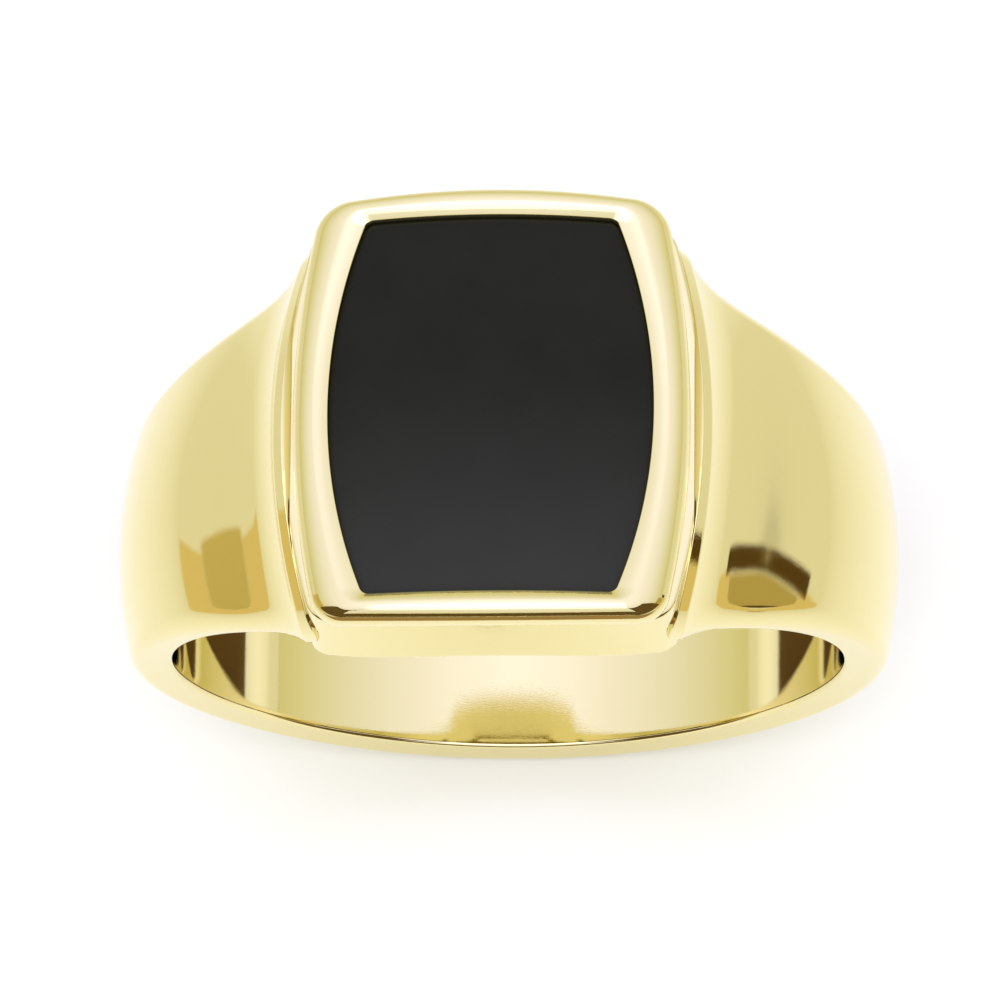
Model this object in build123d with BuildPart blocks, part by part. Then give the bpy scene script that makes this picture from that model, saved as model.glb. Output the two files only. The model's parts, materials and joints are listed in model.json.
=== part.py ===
from build123d import *

import os
from math import cos, radians, sin, sqrt

# Signet ring with an inlaid onyx tablet, for a US size 10 finger.
#
# Frame, in millimetres: the origin is the centre of the finger bore, +Y runs along the
# bore, +Z points up through the middle of the head and +X across the finger.
#
# Six pieces make the ring. The shank is the band with its two shoulders. The collar is
# the hollow frame under the head, soldered between the shoulders. The seat plate closes
# the collar and carries the adhesive bed and the onyx tablet, and the bezel stands on
# the collar's ledge and holds the tablet down by its bevelled edge.

# Finger bore: US size 10 is 19.8 mm across.
BORE_RADIUS = 9.9
BORE_CUT_LENGTH = 30.0

# Head heights on the Z axis. The head's top surfaces are crowned: each is part of a
# cylinder along Y and falls away to the left and right.
CROWN_RADIUS = 20.0
RIM_CREST = 13.12
RIM_SPREAD = 12.20
STONE_TOP = 12.66
LEDGE_TOP = 11.90
TABLET_BASE = 11.00
ADHESIVE_THICKNESS = 0.10
PLATE_THICKNESS = 0.50
COLLAR_BASE = 7.0
COLLAR_BLOCK_TOP = 15.0

# Barrel outlines: half width in the middle, half width at the ends, half length in
# the middle, half length at the corners, corner radius.
STONE_FACE = (4.684, 3.61, 5.826, 5.78, 0.30)
BEZEL_RIM = (5.73, 4.98, 6.66, 6.42, 1.10)
BEZEL_FOOT = (5.50, 4.68, 6.18, 6.05, 0.90)
COLLAR_LEDGE = (6.02, 5.12, 6.22, 6.12, 1.00)
COLLAR_FOOT = (6.22, 5.22, 7.42, 6.02, 1.00)

LIP_OVERLAP = 0.17
TABLET_BEVEL = 0.10
PLATE_LEDGE = 0.85
RIM_TOP_ROUND = 0.42

# How far cutting and trimming blocks reach past what they cut.
CLEARANCE = 1.0

# Stations of the shank from the right side of the head down to the bottom, each an
# angle above +X in degrees, an outer radius on the centre line and a half width. The
# first one lies inside the collar, and the left side mirrors them.
STATIONS = [
    (68, 13.10, 5.95),
    (60, 12.38, 5.56),
    (50, 11.80, 5.09),
    (40, 11.52, 4.64),
    (25, 11.48, 4.02),
    (10, 11.55, 3.50),
    (-10, 11.57, 2.97),
    (-30, 11.50, 2.61),
    (-50, 11.43, 2.38),
    (-70, 11.41, 2.28),
    (-90, 11.40, 2.25),
]
SECTION_CROWN_RADIUS = 12.5
SECTION_FOOT = 8.9
EDGE_ROUND = 0.40


def sagitta(radius, half_chord):
    """Height of an arc above its chord."""
    return radius - sqrt(radius**2 - half_chord**2)


def section_sketch(angle, crest, half_width):
    """A cross-section of the shank: straight sides, a crowned top, rounded edges."""
    outward = Vector(cos(radians(angle)), 0, sin(radians(angle)))
    across = Vector(0, 1, 0)
    section_plane = Plane(origin=(0, 0, 0), x_dir=across, z_dir=across.cross(outward))
    edge = crest - sagitta(SECTION_CROWN_RADIUS, half_width)
    with BuildSketch(section_plane) as section:
        with BuildLine():
            ThreePointArc((half_width, edge), (0, crest), (-half_width, edge))
            Polyline(
                (-half_width, edge),
                (-half_width, SECTION_FOOT),
                (half_width, SECTION_FOOT),
                (half_width, edge),
            )
        make_face()
        fillet(section.vertices().group_by(Axis.Y)[-1], EDGE_ROUND)
    return section.sketch


def barrel_sketch(outline, level, grow=0.0):
    """A barrel outline at a height: bowed sides, nearly straight ends, round corners."""
    middle, end, length, corner, radius = outline
    with BuildSketch(Plane.XY.offset(level)) as barrel:
        with BuildLine():
            ThreePointArc((end, -corner), (middle, 0), (end, corner))
            ThreePointArc((end, corner), (0, length), (-end, corner))
            ThreePointArc((-end, corner), (-middle, 0), (-end, -corner))
            ThreePointArc((-end, -corner), (0, -length), (end, -corner))
        make_face()
        fillet(barrel.vertices(), radius)
        if grow:
            offset(amount=grow)
    return barrel.sketch


def under_crown(top, bottom):
    """A block under a crowned surface, wide enough to trim any piece of the head."""
    reach = COLLAR_FOOT[2] + CLEARANCE
    edge = top - sagitta(CROWN_RADIUS, reach)
    with BuildPart() as block:
        with BuildSketch(Plane.XZ):
            with BuildLine():
                ThreePointArc((-reach, edge), (0, top), (reach, edge))
                Polyline((reach, edge), (reach, bottom), (-reach, bottom), (-reach, edge))
            make_face()
        extrude(amount=reach, both=True)
    return block.part


def collar_block():
    """The collar's outer form, flared towards the finger and left too tall."""
    with BuildPart() as block:
        slope = (COLLAR_BLOCK_TOP - COLLAR_BASE) / (LEDGE_TOP - COLLAR_BASE)
        upper = [
            low + slope * (high - low) for low, high in zip(COLLAR_FOOT, COLLAR_LEDGE)
        ]
        add(barrel_sketch(COLLAR_FOOT, COLLAR_BASE))
        add(barrel_sketch(upper, COLLAR_BLOCK_TOP))
        loft(ruled=True)
    return block.part


def cut_bore():
    """Remove the finger bore from the piece being built."""
    Cylinder(BORE_RADIUS, BORE_CUT_LENGTH, rotation=(90, 0, 0), mode=Mode.SUBTRACT)


os.makedirs("parts", exist_ok=True)
adhesive_base = TABLET_BASE - ADHESIVE_THICKNESS
plate_base = adhesive_base - PLATE_THICKNESS

# Onyx tablet: flat back, crowned polished face, bevelled edge for the bezel's lip.
with BuildPart() as onyx_tablet:
    add(barrel_sketch(STONE_FACE, TABLET_BASE, LIP_OVERLAP))
    extrude(amount=RIM_CREST - TABLET_BASE)
    add(under_crown(STONE_TOP, COLLAR_BASE), mode=Mode.INTERSECT)
    chamfer(onyx_tablet.faces().sort_by(Axis.Z)[-1].edges(), TABLET_BEVEL)

# Adhesive bed: the thin layer of epoxy between the tablet and the seat plate.
with BuildPart() as adhesive_bed:
    add(barrel_sketch(STONE_FACE, adhesive_base, LIP_OVERLAP))
    extrude(amount=ADHESIVE_THICKNESS)

# Seat plate: flat sheet soldered into the collar, which closes the head from below.
with BuildPart() as seat_plate:
    add(barrel_sketch(STONE_FACE, plate_base, LIP_OVERLAP))
    extrude(amount=PLATE_THICKNESS)

# Collar: flared frame with a recess for the plate and the tablet, open to the bore.
with BuildPart() as collar:
    add(collar_block())
    add(under_crown(LEDGE_TOP, COLLAR_BASE - CLEARANCE), mode=Mode.INTERSECT)
    cut_bore()
    add(barrel_sketch(STONE_FACE, plate_base, LIP_OVERLAP))
    extrude(amount=RIM_CREST - plate_base, mode=Mode.SUBTRACT)
    add(barrel_sketch(STONE_FACE, COLLAR_BASE, LIP_OVERLAP - PLATE_LEDGE))
    extrude(amount=RIM_CREST - COLLAR_BASE, mode=Mode.SUBTRACT)

# Bezel: the raised rim, spreading from its foot and closed over the tablet's bevel.
with BuildPart() as bezel:
    add(barrel_sketch(BEZEL_FOOT, TABLET_BASE - CLEARANCE))
    add(barrel_sketch(BEZEL_RIM, RIM_SPREAD))
    loft(ruled=True)
    add(barrel_sketch(BEZEL_RIM, RIM_SPREAD))
    extrude(amount=RIM_CREST - RIM_SPREAD)
    add(under_crown(RIM_CREST, COLLAR_BASE), mode=Mode.INTERSECT)
    fillet(bezel.faces().sort_by(Axis.Z)[-1].edges(), RIM_TOP_ROUND)
    add(under_crown(LEDGE_TOP, COLLAR_BASE), mode=Mode.SUBTRACT)
    add(barrel_sketch(STONE_FACE, TABLET_BASE))
    extrude(amount=RIM_CREST, mode=Mode.SUBTRACT)
    add(onyx_tablet.part, mode=Mode.SUBTRACT)

# Shank: one sweep of sections round the finger, cut to the bore and to the collar.
left_stations = [(-180 - angle, crest, width) for angle, crest, width in STATIONS[-2::-1]]
with BuildPart() as shank:
    for station in STATIONS + left_stations:
        add(section_sketch(*station))
    loft()
    cut_bore()
    add(collar_block(), mode=Mode.SUBTRACT)

shank.part.label = "shank"
export_step(shank.part, "parts/shank.step")

collar.part.label = "collar"
export_step(collar.part, "parts/collar.step")

seat_plate.part.label = "seat_plate"
export_step(seat_plate.part, "parts/seat_plate.step")

adhesive_bed.part.label = "adhesive_bed"
export_step(adhesive_bed.part, "parts/adhesive_bed.step")

onyx_tablet.part.label = "onyx_tablet"
export_step(onyx_tablet.part, "parts/onyx_tablet.step")

bezel.part.label = "bezel"
export_step(bezel.part, "parts/bezel.step")
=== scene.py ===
"""Looks for the onyx signet ring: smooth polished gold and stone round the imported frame.

Lengths are worked out in millimetres, as in the CAD model, and become metres when a mesh
is made. The origin is the centre of the finger bore, +Y runs along the bore and +Z points
up through the head.
"""

import json

import bmesh
import bpy
import numpy as np
from mathutils import Matrix, Vector


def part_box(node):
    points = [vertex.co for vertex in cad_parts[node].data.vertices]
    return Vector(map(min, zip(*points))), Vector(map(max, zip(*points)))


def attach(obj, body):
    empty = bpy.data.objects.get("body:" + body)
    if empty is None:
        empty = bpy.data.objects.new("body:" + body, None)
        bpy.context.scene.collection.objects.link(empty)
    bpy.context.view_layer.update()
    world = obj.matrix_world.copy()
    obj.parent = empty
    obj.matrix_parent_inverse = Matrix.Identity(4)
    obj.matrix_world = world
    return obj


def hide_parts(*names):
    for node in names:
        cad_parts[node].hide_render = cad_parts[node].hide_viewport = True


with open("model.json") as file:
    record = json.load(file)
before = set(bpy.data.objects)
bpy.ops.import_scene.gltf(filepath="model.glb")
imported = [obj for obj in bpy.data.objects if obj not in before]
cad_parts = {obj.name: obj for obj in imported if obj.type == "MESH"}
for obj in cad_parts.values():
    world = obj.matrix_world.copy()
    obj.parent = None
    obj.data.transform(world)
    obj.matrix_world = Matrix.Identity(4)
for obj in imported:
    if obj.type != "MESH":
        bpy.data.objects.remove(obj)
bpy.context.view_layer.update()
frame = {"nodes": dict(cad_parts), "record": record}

MM = 0.001


def half_size(node):
    """Half width, half length, lowest and highest height of a node, in millimetres."""
    low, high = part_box(node)
    return high.x / MM, high.y / MM, low.z / MM, high.z / MM


# Sizes that the frame gives.
BORE_RADIUS = frame["record"]["mounts"][0]["dims"]["r_mm"]
RIM_WIDTH, RIM_LENGTH, _, RIM_CREST = half_size("bezel")
_, _, TABLET_BASE, STONE_TOP = half_size("onyx_tablet")
_, _, PLATE_BASE, _ = half_size("seat_plate")
_, _, _, LEDGE_TOP = half_size("collar")
SIDE_RADIUS, _, BAND_BOTTOM, _ = half_size("shank")

# Barrel outlines: half width in the middle, half width at the ends, half length in the
# middle, half length at the corners, corner radius.
STONE_FACE = (4.684, 3.61, 5.79, 5.745, 0.30)
BEZEL_RIM = (RIM_WIDTH, 4.98, RIM_LENGTH, 6.42, 1.10)
BEZEL_FOOT = (5.50, 4.74, 6.20, 6.05, 0.92)
COLLAR_LEDGE = (6.02, 5.12, 6.22, 6.12, 1.00)
COLLAR_FOOT = (6.22, 5.22, 7.42, 6.02, 1.00)
COLLAR_BASE = 7.0
CROWN_RADIUS = 20.0
LIP_OVERLAP = 0.17
PLATE_LEDGE = 0.85

# The band, as smooth functions of the angle round it.
BAND_HALF_WIDTH = 2.25
SHOULDER_GROWTH = 3.31
SHOULDER_GROWTH_ANGLE = 150.0
SHOULDER_GROWTH_POWER = 2.4
BAND_CROWN_RADIUS = 12.5
SHOULDER_LEAN = 36.9
SHOULDER_OFFSET = 11.38
SHOULDER_BLEND = 0.10
EDGE_ROUND = 0.42
SHOULDER_EDGE_ROUND = 0.85
BORE_EDGE_ROUND = 0.14
BORE_SINK = 0.003
FAIRING_REACH = 1.0
FAIRING_HEIGHT = 0.34

# Angles above +X, in degrees: where the band's radius has grown from the back's to the
# side's, where the round of its long edges starts to grow and over how many degrees it
# does, and the range that the band's end is sought in.
SIDE_RADIUS_ANGLE = 10.0
EDGE_GROWTH_START = 5.0
EDGE_GROWTH_SPAN = 35.0
BAND_END_RANGE = (35.0, 72.0)

# The band's sweep: how far its ends are buried in the collar, how many rings it has on
# one side, how strongly they bunch up at both ends and how many get the fairing.
BURIED_DEPTH = 0.25
SWEEP_RINGS = 181
SWEEP_BUNCHING = 0.12
FAIRED_RINGS = 70

TABLET_BEVEL = 0.10
COLLAR_EDGE_ROUND = 0.10

# The rim's profile: depths below its crest of the widest place and of the inner slope's
# end, the crest's share of the way from the outer outline to the stone's, how full the
# round is and how the slope steepens. Then how far the foot and the lip reach into their
# neighbours, and how thick the lip is.
RIM_WIDEST_DEPTH = 0.62
RIM_EDGE_DEPTH = 0.20
RIM_CREST_SHARE = 0.58
RIM_FULLNESS = 2 / 2.3
RIM_SLOPE_POWER = 1.5
RIM_FOOT_SINK = 0.02
RIM_LIP_SINK = 0.01
RIM_LIP_THICKNESS = 0.12

# Points nearer together than this, in metres, are one point.
MERGE_DISTANCE = 1e-8


def crown(top, x):
    """Height at x of a crowned surface of the head, from its height in the middle."""
    return top - CROWN_RADIUS + np.sqrt(CROWN_RADIUS**2 - x**2)


def bore_height(x):
    """Height of the bore's surface above its axis."""
    return np.sqrt(BORE_RADIUS**2 - x**2)


# --- outlines and meshes -------------------------------------------------------------


def arc(centre, radius, start, end, count):
    """Points along a circle's arc, without its last point."""
    angles = np.linspace(start, end, count, endpoint=False)
    return np.column_stack(
        [centre[0] + radius * np.cos(angles), centre[1] + radius * np.sin(angles)]
    )


def barrel(outline, grow=0.0, side=60, corner=24, end=48):
    """Points round a barrel outline: two bowed sides, two ends and four round corners.

    The corner's centre is where a circle round the side's centre meets one round the
    end's centre, each smaller than its arc by the rounding.
    """
    middle, end_width, length, corner_length, rounding = outline
    side_sag, end_sag = middle - end_width, length - corner_length
    side_radius = (corner_length**2 + side_sag**2) / (2 * side_sag)
    end_radius = (end_width**2 + end_sag**2) / (2 * end_sag)
    side_x, end_y = middle - side_radius, length - end_radius
    apart = np.hypot(side_x, end_y)
    reach_side, reach_end = side_radius - rounding, end_radius - rounding
    along = (reach_side**2 - reach_end**2 + apart**2) / (2 * apart)
    across = np.sqrt(reach_side**2 - along**2)
    step = np.array([-side_x, end_y]) / apart
    corner_x = side_x + step[0] * along - step[1] * across
    corner_y = step[1] * along + step[0] * across
    if corner_x < 0 or corner_y < 0:
        corner_x = side_x + step[0] * along + step[1] * across
        corner_y = step[1] * along - step[0] * across
    side_turn = np.arctan2(corner_y, corner_x - side_x)
    end_turn = np.arctan2(corner_y - end_y, corner_x)
    right_top = np.vstack(
        [
            arc((side_x, 0), side_radius + grow, 0, side_turn, side),
            arc((corner_x, corner_y), rounding + grow, side_turn, end_turn, corner),
            arc((0, end_y), end_radius + grow, end_turn, np.pi / 2, end),
            [[0, length + grow]],
        ]
    )
    top = np.vstack([right_top, right_top[::-1][1:] * [-1, 1]])
    return np.vstack([top, top[::-1][1:-1] * [1, -1]])


def blend(first, second, share):
    """Points a share of the way from one outline to the other."""
    return first + (second - first) * share


def at_height(plan, height):
    """Plan points with a height, which is one number or one for each point."""
    return np.column_stack([plan, np.broadcast_to(height, len(plan))])


def add_mesh(name, rings, closed_sweep, capped=False):
    """A smooth closed mesh from rings of points in millimetres, normals outwards."""
    rings = np.asarray(rings)
    rows, columns, _ = rings.shape
    faces = [
        (
            i * columns + j,
            (i + 1) % rows * columns + j,
            (i + 1) % rows * columns + (j + 1) % columns,
            i * columns + (j + 1) % columns,
        )
        for i in range(rows if closed_sweep else rows - 1)
        for j in range(columns)
    ]
    if capped:
        faces.append(tuple(range(columns)))
        faces.append(tuple(range((rows - 1) * columns, rows * columns)))
    mesh = bpy.data.meshes.new(name)
    mesh.from_pydata((rings.reshape(-1, 3) * MM).tolist(), [], faces)
    bm = bmesh.new()
    bm.from_mesh(mesh)
    bmesh.ops.remove_doubles(bm, verts=bm.verts, dist=MERGE_DISTANCE)
    bmesh.ops.recalc_face_normals(bm, faces=bm.faces)
    bm.to_mesh(mesh)
    bm.free()
    mesh.shade_smooth()
    piece = bpy.data.objects.new(name, mesh)
    bpy.context.collection.objects.link(piece)
    return piece


# --- the head ------------------------------------------------------------------------


def make_onyx():
    """The tablet: flat back, straight sides, bevelled edge and a crowned face."""
    girdle = barrel(STONE_FACE, LIP_OVERLAP)
    face = barrel(STONE_FACE, LIP_OVERLAP - TABLET_BEVEL)
    rings = [at_height(girdle * share, TABLET_BASE) for share in (0, 0.5, 0.97, 1)]
    rings.append(at_height(girdle, crown(STONE_TOP, girdle[:, 0]) - TABLET_BEVEL))
    for share in np.linspace(1, 0, 40):
        plan = face * share
        rings.append(at_height(plan, crown(STONE_TOP, plan[:, 0])))
    return add_mesh("onyx", rings, closed_sweep=False)


def make_bezel():
    """The rim: it rolls out from the groove, over a rounded top and down to the stone."""
    outer, foot = barrel(BEZEL_RIM), barrel(BEZEL_FOOT)
    inner, seat = barrel(STONE_FACE), barrel(STONE_FACE, LIP_OVERLAP)
    foot_depth = RIM_CREST - LEDGE_TOP + RIM_FOOT_SINK
    lip_depth = RIM_CREST - STONE_TOP + RIM_LIP_SINK

    def ring(plan, depth):
        return at_height(plan, crown(RIM_CREST - depth, plan[:, 0]))

    rings = []
    for turn in np.linspace(0, np.pi / 2, 14):
        depth = RIM_WIDEST_DEPTH + (foot_depth - RIM_WIDEST_DEPTH) * np.cos(turn)
        rings.append(ring(blend(foot, outer, np.sin(turn)), depth))
    for turn in np.linspace(0, np.pi / 2, 44)[1:]:
        share = RIM_CREST_SHARE * (1 - np.cos(turn) ** RIM_FULLNESS)
        depth = RIM_WIDEST_DEPTH * (1 - np.sin(turn) ** RIM_FULLNESS)
        rings.append(ring(blend(outer, inner, share), depth))
    for step in np.linspace(0, 1, 20)[1:]:
        share = RIM_CREST_SHARE + (1 - RIM_CREST_SHARE) * step
        depth = RIM_EDGE_DEPTH * step**RIM_SLOPE_POWER
        rings.append(ring(blend(outer, inner, share), depth))
    rings.append(ring(inner, lip_depth))
    rings.append(ring(seat, lip_depth + RIM_LIP_THICKNESS))
    rings.append(ring(seat, foot_depth))
    return add_mesh("bezel_rim", rings, closed_sweep=True)


def collar_wall(heights):
    """Plan points of the collar's flared wall, each at its own height."""
    share = (LEDGE_TOP - heights) / (LEDGE_TOP - COLLAR_BASE)
    return blend(barrel(COLLAR_LEDGE), barrel(COLLAR_FOOT), share[:, None])


def make_collar():
    """The head's frame: ledge, crisp edge, flared wall, bore surface, hollow pocket."""
    edge = COLLAR_EDGE_ROUND
    recess = barrel(STONE_FACE, LIP_OVERLAP)
    pocket = barrel(STONE_FACE, LIP_OVERLAP - PLATE_LEDGE)
    inset = barrel(COLLAR_LEDGE, -edge)
    ledge = crown(LEDGE_TOP, inset[:, 0])
    wall_top = ledge - edge
    rings = [at_height(recess, crown(LEDGE_TOP, recess[:, 0])), at_height(inset, ledge)]
    for turn in np.linspace(0, np.pi / 2, 9)[1:]:
        plan = blend(inset, collar_wall(wall_top), np.sin(turn))
        rings.append(at_height(plan, ledge - edge * (1 - np.cos(turn))))
    low = bore_height(inset[:, 0])
    for _ in range(8):
        low = bore_height(collar_wall(low)[:, 0])
    wall_base = low + edge
    for share in np.linspace(0, 1, 30)[1:]:
        height = wall_top + (wall_base - wall_top) * share
        rings.append(at_height(collar_wall(height), height))
    foot = collar_wall(low)
    inward = foot * (1 - edge / np.linalg.norm(foot, axis=1))[:, None]
    for turn in np.linspace(0, np.pi / 2, 9)[1:]:
        plan = blend(collar_wall(wall_base), inward, 1 - np.cos(turn))
        height = wall_base + (bore_height(inward[:, 0]) - wall_base) * np.sin(turn)
        rings.append(at_height(plan, height))
    for share in np.linspace(0, 1, 20)[1:]:
        plan = blend(inward, pocket, share)
        rings.append(at_height(plan, bore_height(plan[:, 0])))
    rings.append(at_height(pocket, PLATE_BASE))
    rings.append(at_height(recess, PLATE_BASE))
    return add_mesh("head_collar", rings, closed_sweep=True)


# --- the shank -----------------------------------------------------------------------


def band_half_width(angle):
    """Half width of the band at angles above +X, in degrees."""
    turned = (angle + 90) / SHOULDER_GROWTH_ANGLE
    return BAND_HALF_WIDTH + SHOULDER_GROWTH * turned**SHOULDER_GROWTH_POWER


def band_radius(angle):
    """Outer radius on the centre line: almost round, then straight up to the head."""
    turned = np.clip((angle + 90) / (90 + SIDE_RADIUS_ANGLE), 0, 1)
    rise = (1 - np.cos(np.pi * turned)) / 2
    round_part = -BAND_BOTTOM + (SIDE_RADIUS + BAND_BOTTOM) * rise
    lean = np.radians(angle - SHOULDER_LEAN)
    straight_part = SHOULDER_OFFSET * np.where(lean < 0, np.cos(lean), 1 / np.cos(lean))
    gap = np.abs(round_part - straight_part)
    soft = SHOULDER_BLEND * np.log1p(np.exp(-gap / SHOULDER_BLEND))
    return np.maximum(round_part, straight_part) + soft


def band_edge(angle):
    """Radius of the band's long edges: small round the back, wider on the shoulders."""
    turned = np.clip((angle - EDGE_GROWTH_START) / EDGE_GROWTH_SPAN, 0, 1)
    return EDGE_ROUND + (SHOULDER_EDGE_ROUND - EDGE_ROUND) * turned**2 * (3 - 2 * turned)


# Half a section, from the middle of the bore round to the middle of the crown: how many
# points each stretch has.
SECTION_STRETCHES = {"bore": 14, "bore edge": 8, "side": 12, "edge": 16, "crown": 32}


def section_layout():
    """For the whole loop: each point's stretch, its share of that stretch, its side."""
    kinds, shares = [], []
    for number, count in enumerate(SECTION_STRETCHES.values()):
        last = number == len(SECTION_STRETCHES) - 1
        kinds += [number] * count
        shares += list(np.linspace(0, 1, count, endpoint=last))
    kinds, shares = np.array(kinds), np.array(shares)
    sides = np.concatenate([np.ones(len(kinds)), -np.ones(len(kinds) - 2)])
    kinds = np.concatenate([kinds, kinds[::-1][1:-1]])
    shares = np.concatenate([shares, shares[::-1][1:-1]])
    return kinds, shares, sides


KINDS, SHARES, SIDES = section_layout()


def band_points(angles):
    """One point of the section's loop at each of the given angles."""
    radius, half, edge = band_radius(angles), band_half_width(angles), band_edge(angles)
    centre = radius - BAND_CROWN_RADIUS
    round_y = half - edge
    lean = np.arcsin(round_y / (BAND_CROWN_RADIUS - edge))
    round_r = centre + (BAND_CROWN_RADIUS - edge) * np.cos(lean)
    side_base = BORE_RADIUS + BORE_EDGE_ROUND
    quarter = SHARES * np.pi / 2
    turn = SHARES * (np.pi / 2 - lean)
    bend = lean * (1 - SHARES)
    across = np.select(
        [KINDS == 0, KINDS == 1, KINDS == 2, KINDS == 3, KINDS == 4],
        [
            (half - BORE_EDGE_ROUND) * SHARES,
            half - BORE_EDGE_ROUND * (1 - np.sin(quarter)),
            half,
            round_y + edge * np.cos(turn),
            BAND_CROWN_RADIUS * np.sin(bend),
        ],
    )
    out = np.select(
        [KINDS == 0, KINDS == 1, KINDS == 2, KINDS == 3, KINDS == 4],
        [
            np.full(len(KINDS), BORE_RADIUS - BORE_SINK),
            BORE_RADIUS + BORE_EDGE_ROUND * (1 - np.cos(quarter)),
            side_base + (round_r - side_base) * SHARES,
            round_r + edge * np.sin(turn),
            centre + BAND_CROWN_RADIUS * np.cos(bend),
        ],
    )
    turned = np.radians(angles)
    return np.column_stack([out * np.cos(turned), across * SIDES, out * np.sin(turned)])


def outline_distance(plan, outline):
    """Signed distance in plan from each point to an outline, negative inside it."""
    step = np.roll(outline, -1, axis=0) - outline
    offset = plan[:, None, :] - outline[None]
    share = np.clip((offset * step).sum(2) / (step**2).sum(1), 0, 1)
    nearest = np.linalg.norm(offset - share[:, :, None] * step, axis=2).min(1)
    rising = (offset[:, :, 1] < 0) != (offset[:, :, 1] - step[:, 1] < 0)
    slope = step[:, 0] / np.where(step[:, 1] == 0, 1e-9, step[:, 1])
    crossings = (rising & (offset[:, :, 0] < offset[:, :, 1] * slope)).sum(1)
    return np.where(crossings % 2 == 1, -nearest, nearest)


def wall_distance(points):
    """Plan distance of points from the collar's wall at their own height."""
    levels = np.array([LEDGE_TOP, (LEDGE_TOP + COLLAR_BASE) / 2, COLLAR_BASE])
    found = []
    for level in levels:
        share = (LEDGE_TOP - level) / (LEDGE_TOP - COLLAR_BASE)
        outline = blend(barrel(COLLAR_LEDGE), barrel(COLLAR_FOOT), share)
        found.append(outline_distance(points[:, :2], outline[::3]))
    place = np.clip((LEDGE_TOP - points[:, 2]) / (LEDGE_TOP - COLLAR_BASE), 0, 1) * 2
    lower = np.clip(place - 1, 0, 1)
    upper = np.clip(place, 0, 1)
    first = found[0] + (found[1] - found[0]) * upper
    return first + (found[2] - found[1]) * lower


def make_shank():
    """The band and shoulders, swept round the finger and faired up to the collar."""
    low, high = (np.full(len(KINDS), angle) for angle in BAND_END_RANGE)
    for _ in range(16):
        middle = (low + high) / 2
        outside = wall_distance(band_points(middle)) > -BURIED_DEPTH
        low, high = np.where(outside, middle, low), np.where(outside, high, middle)
    ends = (low + high) / 2
    steps = np.linspace(0, 1, SWEEP_RINGS)
    steps = steps - SWEEP_BUNCHING * np.sin(2 * np.pi * steps)
    rings = np.array([band_points(ends - (90 + ends) * step) for step in steps])

    # Fairing: near the collar the outside rises along its normal to meet the wall.
    along = np.gradient(rings, axis=0)
    around = np.roll(rings, -1, axis=1) - np.roll(rings, 1, axis=1)
    normals = np.cross(along, around)
    normals /= np.linalg.norm(normals, axis=2)[:, :, None] + 1e-12
    near = FAIRED_RINGS
    distance = np.array([wall_distance(ring) for ring in rings[:near]])
    strength = np.select([KINDS < 2, KINDS == 2], [0.0, SHARES], 1.0)
    rise = np.clip(1 - np.clip(distance, 0, None) / FAIRING_REACH, 0, 1) ** 2
    lift = FAIRING_HEIGHT * rise * strength
    outside_sign = np.sign((normals[:near] * rings[:near]).sum(2))
    outside_sign = np.where(KINDS == 2, np.sign(normals[:near, :, 1] * SIDES), outside_sign)
    rings[:near] += normals[:near] * (lift * outside_sign)[:, :, None]
    whole = np.concatenate([rings, rings[::-1][1:] * [-1, 1, 1]])
    return add_mesh("band_and_shoulders", whole, closed_sweep=False, capped=True)


# --- materials -----------------------------------------------------------------------


GOLD_TONES = ((0.818, 0.724, 0.366), (0.832, 0.740, 0.396))
GOLD_ROUGHNESS = (0.028, 0.055)
WIPE_MARK_DEPTH = 0.0012

# Along the bore, in millimetres: the onyx is darkest from the first place on and lightest
# from the second. This is a painted reflection that lightens the stone towards the viewer's
# end.
# Both tones carry the painted reflection as well as the stone's own near-black body.
ONYX_BODY_AND_PAINTED_REFLECTION_TONES = ((0.002, 0.002, 0.0), (0.026, 0.026, 0.022))
ONYX_PAINTED_REFLECTION_DARK_PLACE = 2.0
ONYX_PAINTED_REFLECTION_LIGHT_PLACE = -7.5
ONYX_ROUGHNESS = (0.10, 0.16)
ONYX_PORE_DEPTH = 0.004

EPOXY_TONES = ((0.015, 0.014, 0.013), (0.03, 0.028, 0.025))
EPOXY_ROUGHNESS = (0.35, 0.55)
EPOXY_RELIEF = 0.01

PAPER_ROUGHNESS = 0.9
PAPER_SPECULAR = 0.1

# The middle part of a noise pattern's values, which the ranges below are spread over.
NOISE_LOW = 0.3
NOISE_HIGH = 0.7


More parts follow.
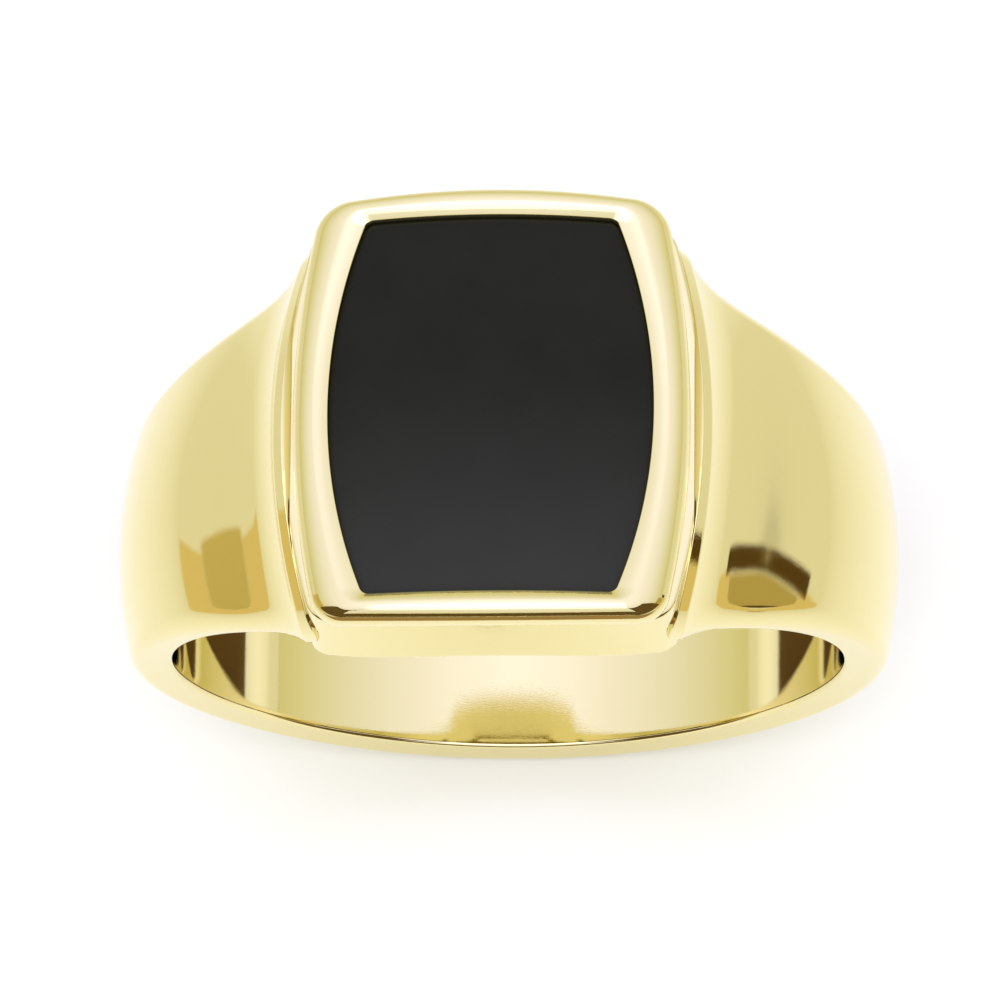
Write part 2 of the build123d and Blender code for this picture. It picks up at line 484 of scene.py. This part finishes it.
class Nodes:
    """Short hand for one material's node tree."""

    def __init__(self, name):
        self.material = bpy.data.materials.new(name)
        self.material.use_nodes = True
        self.tree = self.material.node_tree
        self.shader = self.tree.nodes["Principled BSDF"]

    def add(self, kind, **settings):
        """A new node with its properties set, or its inputs where the name is one."""
        node = self.tree.nodes.new(kind)
        for key, value in settings.items():
            if hasattr(node, key):
                setattr(node, key, value)
            else:
                node.inputs[key.replace("_", " ").title()].default_value = value
        return node

    def link(self, source, target):
        """Join an output socket to an input socket."""
        self.tree.links.new(source, target)

    def noise(self, scale, detail=3.0, stretch=(1, 1, 1)):
        """A noise pattern in object space, with features about 1 / scale metres across."""
        place = self.add("ShaderNodeTexCoord")
        mapping = self.add("ShaderNodeMapping")
        mapping.inputs["Scale"].default_value = stretch
        pattern = self.add("ShaderNodeTexNoise", scale=scale, detail=detail)
        self.link(place.outputs["Object"], mapping.inputs["Vector"])
        self.link(mapping.outputs["Vector"], pattern.inputs["Vector"])
        return pattern.outputs["Fac"]

    def ranged(self, value, low, high):
        """A 0 to 1 value spread over a range."""
        node = self.add("ShaderNodeMapRange")
        node.inputs["From Min"].default_value = NOISE_LOW
        node.inputs["From Max"].default_value = NOISE_HIGH
        node.inputs["To Min"].default_value = low
        node.inputs["To Max"].default_value = high
        self.link(value, node.inputs["Value"])
        return node.outputs["Result"]

    def colours(self, value, first, second):
        """A colour between two, chosen by a 0 to 1 value."""
        node = self.add("ShaderNodeMix", data_type="RGBA")
        node.inputs["A"].default_value = (*first, 1)
        node.inputs["B"].default_value = (*second, 1)
        self.link(value, node.inputs["Factor"])
        return node.outputs["Result"]

    def bump(self, height, strength, distance):
        """Relief on the shader's normal. distance is in metres."""
        node = self.add("ShaderNodeBump")
        node.inputs["Strength"].default_value = strength
        node.inputs["Distance"].default_value = distance
        self.link(height, node.inputs["Height"])
        self.link(node.outputs["Normal"], self.shader.inputs["Normal"])


def polished_gold():
    """Polished yellow gold: faint tone drift, soft buffing haze and fine wipe marks."""
    n = Nodes("polished_gold")
    n.shader.inputs["Metallic"].default_value = 1.0
    tone = n.noise(220, detail=2)
    n.link(n.colours(tone, *GOLD_TONES), n.shader.inputs["Base Color"])
    haze = n.noise(1400, detail=6, stretch=(1, 3, 1))
    n.link(n.ranged(haze, *GOLD_ROUGHNESS), n.shader.inputs["Roughness"])
    marks = n.noise(9000, detail=4, stretch=(1, 6, 1))
    n.bump(marks, strength=0.35, distance=WIPE_MARK_DEPTH * MM)
    return n.material


def polished_onyx():
    """Black onyx: near-black body with a painted reflection lighter towards the viewer's
    end, a faint random cloudy tone, glassy polish, pores.
    """
    n = Nodes("polished_onyx")
    n.shader.inputs["IOR"].default_value = 1.54
    n.shader.inputs["Specular IOR Level"].default_value = 0.12
    n.shader.inputs["Specular Tint"].default_value = (1.0, 0.99, 0.78, 1)
    place = n.add("ShaderNodeTexCoord")
    parts = n.add("ShaderNodeSeparateXYZ")
    n.link(place.outputs["Object"], parts.inputs["Vector"])
    # Painted reflection: the body colour lightens along the bore towards the viewer's end.
    lean = n.add("ShaderNodeMapRange", interpolation_type="SMOOTHSTEP")
    lean.inputs["From Min"].default_value = ONYX_PAINTED_REFLECTION_DARK_PLACE * MM
    lean.inputs["From Max"].default_value = ONYX_PAINTED_REFLECTION_LIGHT_PLACE * MM
    lean.inputs["To Min"].default_value = 0.15
    lean.inputs["To Max"].default_value = 0.85
    n.link(parts.outputs["Y"], lean.inputs["Value"])
    # The painted reflection plus a small random cloudy tone.
    cloud_and_painted_reflection = n.add("ShaderNodeMath", operation="ADD")
    n.link(lean.outputs["Result"], cloud_and_painted_reflection.inputs[0])
    n.link(n.ranged(n.noise(500, detail=5), -0.04, 0.04), cloud_and_painted_reflection.inputs[1])
    body = n.colours(cloud_and_painted_reflection.outputs["Value"], *ONYX_BODY_AND_PAINTED_REFLECTION_TONES)
    n.link(body, n.shader.inputs["Base Color"])
    polish = n.noise(2500, detail=6)
    n.link(n.ranged(polish, *ONYX_ROUGHNESS), n.shader.inputs["Roughness"])
    pores = n.noise(12000, detail=3)
    n.bump(pores, strength=0.2, distance=ONYX_PORE_DEPTH * MM)
    return n.material


def cured_epoxy():
    """The adhesive under the stone: dark, satin, slightly uneven."""
    n = Nodes("cured_epoxy")
    n.link(n.colours(n.noise(900), *EPOXY_TONES), n.shader.inputs["Base Color"])
    n.link(n.ranged(n.noise(1800), *EPOXY_ROUGHNESS), n.shader.inputs["Roughness"])
    n.bump(n.noise(3000), strength=0.3, distance=EPOXY_RELIEF * MM)
    return n.material


def matte(name, colour):
    """A plain stage surface."""
    n = Nodes(name)
    n.shader.inputs["Base Color"].default_value = (*colour, 1)
    n.shader.inputs["Roughness"].default_value = PAPER_ROUGHNESS
    n.shader.inputs["Specular IOR Level"].default_value = PAPER_SPECULAR
    return n.material


# --- assembly ------------------------------------------------------------------------

gold = polished_gold()
onyx_finish = polished_onyx()
epoxy = cured_epoxy()

for make, node, slot_name, finish in (
    (make_shank, "shank", "gold", gold),
    (make_collar, "collar", "gold", gold),
    (make_bezel, "bezel", "gold", gold),
    (make_onyx, "onyx_tablet", "onyx", onyx_finish),
):
    piece = make()
    piece.data.materials.append(finish)
    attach(piece, "root")
    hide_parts(node)

for node, finish in (("seat_plate", gold), ("adhesive_bed", epoxy)):
    for slot in frame["nodes"][node].material_slots:
        slot.material = finish

# --- stage, lights and camera --------------------------------------------------------

# The stage is in metres. The cards are seen only in the ring's reflections.
FLOOR_REACH = 6.0
# The floor's colour holds a painted pool of light: white near the band, then painted shade,
# dimmer and warmer, farther out.
FLOOR_PAINTED_POOL_RADIUS = 0.012
FLOOR_PAINTED_SHADE_RADIUS = 0.060
FLOOR_PAINTED_POOL_COLOUR = (0.80, 0.80, 0.72)
FLOOR_PAINTED_SHADE_COLOUR = (0.575, 0.56, 0.40)
FLAG_DISTANCE = 0.12
STRIP_DISTANCE = 0.09
SHEET_LIFT = 0.0001
FLAG_COLOUR = (0.14, 0.09, 0.03)
BOARD_COLOUR = (0.52, 0.41, 0.15)
# The left board's colour is lightened with painted light, making up for the shade it gets
# standing upright.
LEFT_BOARD_PAINTED_LIGHT_COLOUR = (0.64, 0.52, 0.22)
# Colour of dark cards that stand in for shade: painted shade, seen only in reflections.
PAINTED_SHADE_COLOUR = (0.10, 0.055, 0.012)
FRONT_SHEET_COLOUR = (0.24, 0.16, 0.06)

# The camera's distance is in millimetres.
CAMERA_DISTANCE = 350.0
CAMERA_ELEVATION = np.radians(69.1)
HEAD_TURN = np.radians(2.66)
PICTURE_ROLL = np.radians(-0.51)
PIXELS_PER_MM = 33.703
PICTURE_WIDTH = 1000
PICTURE_SHIFT = (-0.0091, 0.062)
SENSOR = 36.0
CAMERA_CLIP = (0.01, 20)


def direction(azimuth, elevation):
    """Unit vector towards a place: azimuth 0 is the viewer's side, 90 the right."""
    a, e = np.radians(azimuth), np.radians(elevation)
    return Vector((np.sin(a) * np.cos(e), -np.cos(a) * np.cos(e), np.sin(e)))


def soft_light(name, azimuth, elevation, distance, width, height, power):
    """A large soft rectangle of light facing the ring."""
    data = bpy.data.lights.new(name, "AREA")
    data.shape = "RECTANGLE"
    data.size, data.size_y = width, height
    data.energy = power
    light = bpy.data.objects.new(name, data)
    towards = direction(azimuth, elevation)
    light.location = towards * distance
    light.rotation_mode = "QUATERNION"
    light.rotation_quaternion = towards.to_track_quat("Z", "Y")
    light.visible_camera = False
    bpy.context.collection.objects.link(light)
    return light


def flag(name, start, end, top, colour, distance=FLAG_DISTANCE):
    """A curved card that stands on the floor between two azimuths, up to a height."""
    base = BAND_BOTTOM * MM
    turns = np.linspace(start, end, 25)
    low = [tuple(direction(turn, 0) * distance + Vector((0, 0, base))) for turn in turns]
    high = [tuple(direction(turn, 0) * distance + Vector((0, 0, top))) for turn in turns]
    count = len(turns)
    faces = [(i, i + 1, count + i + 1, count + i) for i in range(count - 1)]
    mesh = bpy.data.meshes.new(name)
    mesh.from_pydata(low + high, [], faces)
    mesh.materials.append(matte(name, colour))
    stage_card(name, mesh)


def sheet(name, across, along, colour):
    """A card that lies just above the floor, over a range across and along the bore."""
    z = BAND_BOTTOM * MM + SHEET_LIFT
    mesh = bpy.data.meshes.new(name)
    corners = [(across[i], along[j], z) for i, j in ((0, 0), (1, 0), (1, 1), (0, 1))]
    mesh.from_pydata(corners, [], [(0, 1, 2, 3)])
    mesh.materials.append(matte(name, colour))
    stage_card(name, mesh)


def stage_card(name, mesh):
    """Put a card on the stage where only reflections see it."""
    obj = bpy.data.objects.new(name, mesh)
    obj.visible_camera = False
    obj.visible_shadow = False
    obj.visible_diffuse = False
    bpy.context.collection.objects.link(obj)


def make_floor():
    """A pale floor under the band with painted light: a white painted pool near it, painted
    shade dimmer and warmer far away.
    """
    mesh = bpy.data.meshes.new("floor")
    r, z = FLOOR_REACH, BAND_BOTTOM * MM
    mesh.from_pydata([(-r, -r, z), (r, -r, z), (r, r, z), (-r, r, z)], [], [(0, 1, 2, 3)])
    floor = bpy.data.objects.new("floor", mesh)
    n = Nodes("floor_paper_with_painted_light")
    place = n.add("ShaderNodeTexCoord")
    length = n.add("ShaderNodeVectorMath", operation="LENGTH")
    n.link(place.outputs["Object"], length.inputs["Vector"])
    # Painted pool of light fading into painted shade with distance from the band.
    painted_light_falloff = n.add("ShaderNodeMapRange")
    painted_light_falloff.inputs["From Min"].default_value = FLOOR_PAINTED_POOL_RADIUS
    painted_light_falloff.inputs["From Max"].default_value = FLOOR_PAINTED_SHADE_RADIUS
    n.link(length.outputs["Value"], painted_light_falloff.inputs["Value"])
    painted_light_paper = n.colours(painted_light_falloff.outputs["Result"], FLOOR_PAINTED_POOL_COLOUR, FLOOR_PAINTED_SHADE_COLOUR)
    n.link(painted_light_paper, n.shader.inputs["Base Color"])
    n.shader.inputs["Roughness"].default_value = PAPER_ROUGHNESS
    n.shader.inputs["Specular IOR Level"].default_value = PAPER_SPECULAR
    mesh.materials.append(n.material)
    bpy.context.collection.objects.link(floor)


# Studio surroundings: height as the sine of the elevation, and the colour there.
SKY = (
    (0.00, (0.78, 0.74, 0.46)),
    (0.12, (0.82, 0.80, 0.57)),
    (0.37, (0.92, 0.91, 0.87)),
    (0.60, (1.02, 1.02, 1.20)),
    (0.79, (1.12, 1.12, 1.44)),
    (0.92, (1.25, 1.25, 1.75)),
    (1.00, (1.45, 1.45, 2.15)),
)
SKY_PEAK = 2.2


def make_world():
    """Studio surroundings: warm and dimmer at the horizon, cool and bright overhead."""
    world = bpy.data.worlds.new("studio")
    world.use_nodes = True
    tree = world.node_tree
    place = tree.nodes.new("ShaderNodeTexCoord")
    parts = tree.nodes.new("ShaderNodeSeparateXYZ")
    ramp = tree.nodes.new("ShaderNodeValToRGB")
    stops = ramp.color_ramp.elements
    while len(stops) < len(SKY):
        stops.new(0.5)
    for stop, (height, colour) in zip(stops, SKY):
        stop.position = height
        stop.color = (*[part / SKY_PEAK for part in colour], 1)
    tree.links.new(place.outputs["Generated"], parts.inputs["Vector"])
    tree.links.new(parts.outputs["Z"], ramp.inputs["Fac"])
    back = tree.nodes["Background"]
    tree.links.new(ramp.outputs["Color"], back.inputs["Color"])
    back.inputs["Strength"].default_value = SKY_PEAK
    bpy.context.scene.world = world


def make_camera():
    """A long lens above the viewer's side of the ring, looking down at the face."""
    e, turn, roll = CAMERA_ELEVATION, HEAD_TURN, PICTURE_ROLL
    back = Vector((np.sin(e) * np.sin(turn), -np.cos(e), np.sin(e) * np.cos(turn)))
    right = Vector((np.cos(turn), 0, -np.sin(turn)))
    up = Vector((np.cos(e) * np.sin(turn), np.sin(e), np.cos(e) * np.cos(turn)))
    image_right = right * np.cos(roll) - up * np.sin(roll)
    image_up = right * np.sin(roll) + up * np.cos(roll)
    data = bpy.data.cameras.new("camera")
    data.sensor_width = SENSOR
    data.lens = PIXELS_PER_MM * CAMERA_DISTANCE / PICTURE_WIDTH * SENSOR
    data.shift_x, data.shift_y = PICTURE_SHIFT
    data.clip_start, data.clip_end = CAMERA_CLIP
    camera = bpy.data.objects.new("camera", data)
    place = Matrix((image_right, image_up, back)).transposed().to_4x4()
    place.translation = back * CAMERA_DISTANCE * MM
    camera.matrix_world = place
    bpy.context.collection.objects.link(camera)
    bpy.context.scene.camera = camera


make_floor()
make_world()
soft_light("key", 0, 70, 1.2, 1.05, 1.00, 2.6)
wash = soft_light("floor_wash", 0, 62, 1.4, 1.6, 1.6, 11.0)
wash.visible_glossy = False
flag("left_flag", -74, -33, 0.115, FLAG_COLOUR)
flag("right_flag", 33, 74, 0.115, FLAG_COLOUR)
flag("front_flag", -33, 33, 0.042, FLAG_COLOUR)
flag("left_board", -97, -74, 0.030, LEFT_BOARD_PAINTED_LIGHT_COLOUR)
flag("right_board", 74, 86, 0.030, BOARD_COLOUR)
# A dark strip low on the right in the painted shade colour.
flag("right_strip", 86, 91, 0.008, PAINTED_SHADE_COLOUR, STRIP_DISTANCE)
sheet("front_sheet", (-0.060, 0.060), (-0.105, -0.032), FRONT_SHEET_COLOUR)
sheet("left_sheet", (-0.118, -0.060), (-0.040, 0.010), BOARD_COLOUR)
sheet("right_sheet", (0.060, 0.118), (-0.040, -0.004), BOARD_COLOUR)
# A dark sheet just behind the band's foot: painted contact shadow, seen only in
# reflections.
sheet("back_painted_shadow_sheet", (-0.010, 0.010), (0.003, 0.0085), PAINTED_SHADE_COLOUR)
make_camera()
bpy.context.scene.view_settings.view_transform = "Standard"
bpy.context.scene.view_settings.look = "None"
